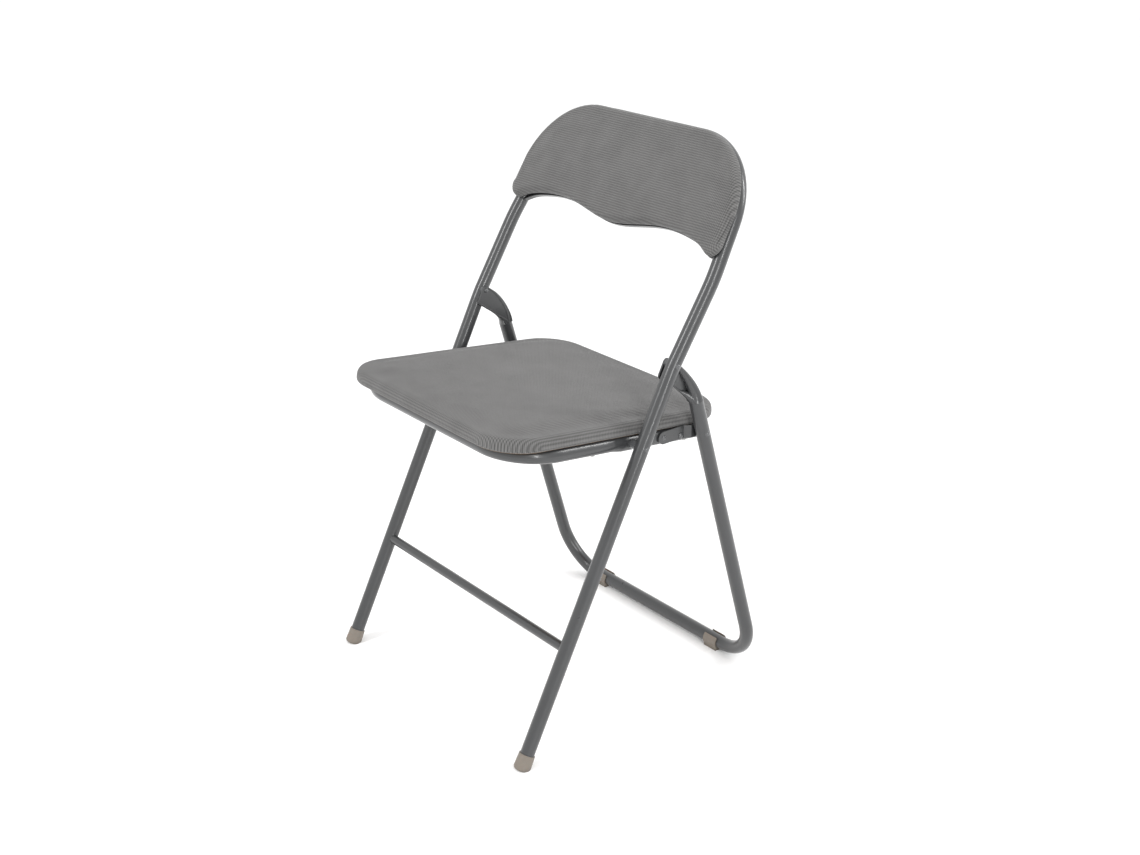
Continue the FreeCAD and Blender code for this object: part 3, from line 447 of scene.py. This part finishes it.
def ribbed_pad(name, node, board, body, axes, ribs_along, seam_share, upper_reach, lower_reach, cap):
    """Cushion in its CAD solid's place: crowned by cloth pressure, then ribbed.

    ribs_along is True where the ribs run along the pad, so that they repeat over X."""
    own = node_points(node, axes)
    low, high = own.min(0), own.max(0)
    half = high[0] - 1e-5
    seam = low[2] + seam_share * (high[2] - low[2])
    tree = node_tree(node, axes)
    fine = RIB_PITCH / POINTS_PER_RIB
    length = high[1] - low[1]
    across = int(2 * half / (fine if ribs_along else COARSE_STEP))
    along = int(length / (COARSE_STEP if ribs_along else fine))

    xs = edge_spaced(-half, half, upper_reach, across)
    ends = outline_ends(tree, xs, seam, (low[1], high[1]))
    rows = np.array([edge_spaced(a, b, upper_reach, along) for a, b in zip(*ends)])
    grid = np.stack([np.repeat(xs[:, None], rows.shape[1], 1), rows], 2)
    outline_xs = edge_spaced(-half, half, 0.06, OUTLINE_STATIONS)
    loop = outline_loop(outline_xs, *outline_ends(tree, outline_xs, seam, (low[1], high[1])))
    inside = rim_distance(grid.reshape(-1, 2), loop).reshape(rows.shape)
    inside[:, 0] = inside[:, -1] = inside[0] = inside[-1] = 0

    upper = np.dstack([grid, seam + (high[2] - seam) * rounded(inside, upper_reach)])
    lower = np.dstack([grid, seam - (seam - low[2]) * rounded(inside, lower_reach)])
    count, points_each = rows.shape

    def faces_of(stations, places):
        """Quads over the upper and lower grids, which share the rim's vertices."""
        total = stations * places
        def vertex(side, i, j):
            rim = i in (0, stations - 1) or j in (0, places - 1)
            return i * places + j + (0 if rim else side * total)
        quads = []
        for i in range(stations - 1):
            for j in range(places - 1):
                for side in (0, 1):
                    quad = [vertex(side, i, j), vertex(side, i + 1, j),
                            vertex(side, i + 1, j + 1), vertex(side, i, j + 1)]
                    quads.append(quad[::-1] if side else quad)
        return quads

    skip_x = CLOTH_SKIP if ribs_along else 1
    skip_a = 1 if ribs_along else CLOTH_SKIP
    rough_i = sorted(set(range(0, count, skip_x)) | {count - 1})
    rough_j = sorted(set(range(0, points_each, skip_a)) | {points_each - 1})
    start = np.stack([upper, lower]).copy()
    start[..., 2] = low[2] + (start[..., 2] - low[2]) * START_SHRINK
    rough = start[:, rough_i][:, :, rough_j]
    rough_faces = faces_of(len(rough_i), len(rough_j))
    blown = inflate(name + "_blown", rough.reshape(-1, 3), rough_faces, low[2], cap)
    shift = np.zeros_like(upper)
    for index in np.ndindex(count, points_each):
        if inside[index] > 0.001:
            hit = blown.ray_cast(Vector((upper[index][0], upper[index][1], high[2] + 0.1)),
                                 Vector((0, 0, -1)))[0]
            if hit is not None:
                shift[index][2] = hit.z - upper[index][2]
    half_widths = (WIDE_WINDOW, NARROW_WINDOW) if ribs_along else (NARROW_WINDOW, WIDE_WINDOW)
    passes = list(enumerate(half_widths)) * SMOOTH_PASSES
    settle = np.clip((inside - SHIFT_FROM) / SHIFT_OVER, 0, 1)
    settle = (settle * settle * (3 - 2 * settle))[..., None]
    upper = upper + smoothed(shift * settle, passes) * np.minimum(1, inside / 0.004)[..., None]

    rib_place = arc_place(grid[..., 0], half, upper_reach)
    middle = (low[1] + high[1]) / 2
    cross_place = arc_place(grid[..., 1] - middle, length / 2, upper_reach)
    if not ribs_along:
        rib_place, cross_place = cross_place, rib_place
    groove = (RIB_DEPTH * (0.5 - 0.5 * np.cos(2 * math.pi * rib_place / RIB_PITCH)))[..., None]
    out = np.cross(np.gradient(upper, axis=0), np.gradient(upper, axis=1))
    out /= np.maximum(np.linalg.norm(out, axis=2, keepdims=True), 1e-12)
    upper = upper - out * groove * np.minimum(1, inside / 0.001)[..., None]

    points = np.stack([upper, lower]).reshape(-1, 3)
    obj = mesh_object(name, points, faces_of(count, points_each))
    for label, values in (("rib_place", rib_place), ("cross_place", cross_place)):
        layer = obj.data.attributes.new(label, "FLOAT", "POINT")
        layer.data.foreach_set("value", np.tile(values.ravel(), 2).astype(np.float32))
    tidy = bmesh.new()
    tidy.from_mesh(obj.data)
    loose = [v for v in tidy.verts if not v.link_faces]
    bmesh.ops.delete(tidy, geom=loose, context="VERTS")
    bmesh.ops.remove_doubles(tidy, verts=tidy.verts, dist=1e-6)
    tidy.to_mesh(obj.data)
    tidy.free()
    cut_pocket(obj, board, axes, POCKET_CLEARANCE)

    mesh = obj.data
    mesh.transform(Matrix(axes.tolist()).to_4x4())
    mesh.shade_smooth()
    mesh.set_sharp_from_angle(angle=math.radians(CREASE_ANGLE))
    mesh.materials.clear()
    mesh.materials.append(MATERIALS["ribbed_fabric"])
    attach(obj, body)
    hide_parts(node)
    return obj


# ---- studio -----------------------------------------------------------------------------------------


def area_light(name, place, target, size, energy, colour=(1, 1, 1)):
    """Soft rectangular light that faces a target."""
    data = bpy.data.lights.new(name, "AREA")
    data.shape = "RECTANGLE"
    data.size, data.size_y = size
    data.energy = energy
    data.color = colour
    obj = link_object(name, data)
    obj.location = place
    obj.rotation_euler = (Vector(target) - Vector(place)).to_track_quat("-Z", "Y").to_euler()


def studio():
    """Plain pale floor, white surroundings, and soft lights."""
    reach = 400.0
    corners = [(-reach, -reach, 0), (reach, -reach, 0), (reach, reach, 0), (-reach, reach, 0)]
    floor = mesh_object("floor", corners, [(0, 1, 2, 3)])
    material, tree, shader = new_material("pale_floor", Roughness=0.9, Specular_IOR_Level=0.1)
    tree.links.new(shades(tree, noise(tree, 3, 3), (0.3, (0.94, 0.94, 0.94)), (0.7, (0.96, 0.96, 0.96))),
                   shader.inputs["Base Color"])
    floor.data.materials.append(material)

    world = bpy.data.worlds.new("studio")
    world.use_nodes = True
    world.node_tree.nodes["Background"].inputs["Color"].default_value = (1, 1, 1, 1)
    world.node_tree.nodes["Background"].inputs["Strength"].default_value = 1.08
    bpy.context.scene.world = world

    middle = (0, 0, 0.45)
    area_light("key", (-0.6, -2.6, 2.6), middle, (0.3, 1.8), 46)
    area_light("fill", (2.9, -0.9, 1.6), middle, (0.16, 2.2), 34)
    area_light("rim", (1.5, 2.3, 2.1), middle, (0.3, 1.8), 34)
    bpy.context.scene.view_settings.view_transform = "Standard"


def camera():
    """Camera at the chair's right front, above it, level."""
    pivot = next(j for j in frame["joints"] if j["name"] == "seat_fold")["pos_m"]
    target = Vector((0, pivot[1], pivot[2])) + CAMERA_FROM_PIVOT
    azimuth, elevation = math.radians(CAMERA_AZIMUTH), math.radians(CAMERA_ELEVATION)
    away = Vector((math.sin(azimuth) * math.cos(elevation), -math.cos(azimuth) * math.cos(elevation),
                   math.sin(elevation)))
    data = bpy.data.cameras.new("camera")
    data.lens = CAMERA_LENS
    data.sensor_width = SENSOR
    obj = link_object("camera", data)
    obj.location = target + away * CAMERA_DISTANCE
    obj.rotation_euler = (-away).to_track_quat("-Z", "Y").to_euler()
    bpy.context.scene.camera = obj


camera()
studio()
dress_cad_nodes()
ribbed_pad("seat_cushion_cover", "seat_cushion", "seat_board", "seat",
           tilted_axes(SEAT_SLOPE, (0, 1, 0), (0, 0, 1)), True, 0.26, 0.0095, 0.005, 0.006)
ribbed_pad("back_cushion_cover", "back_cushion", "back_board", "main_frame",
           tilted_axes(BACK_LEAN, (0, 0, 1), (0, -1, 0)), False, 0.2, 0.0095, 0.004, 0.004)
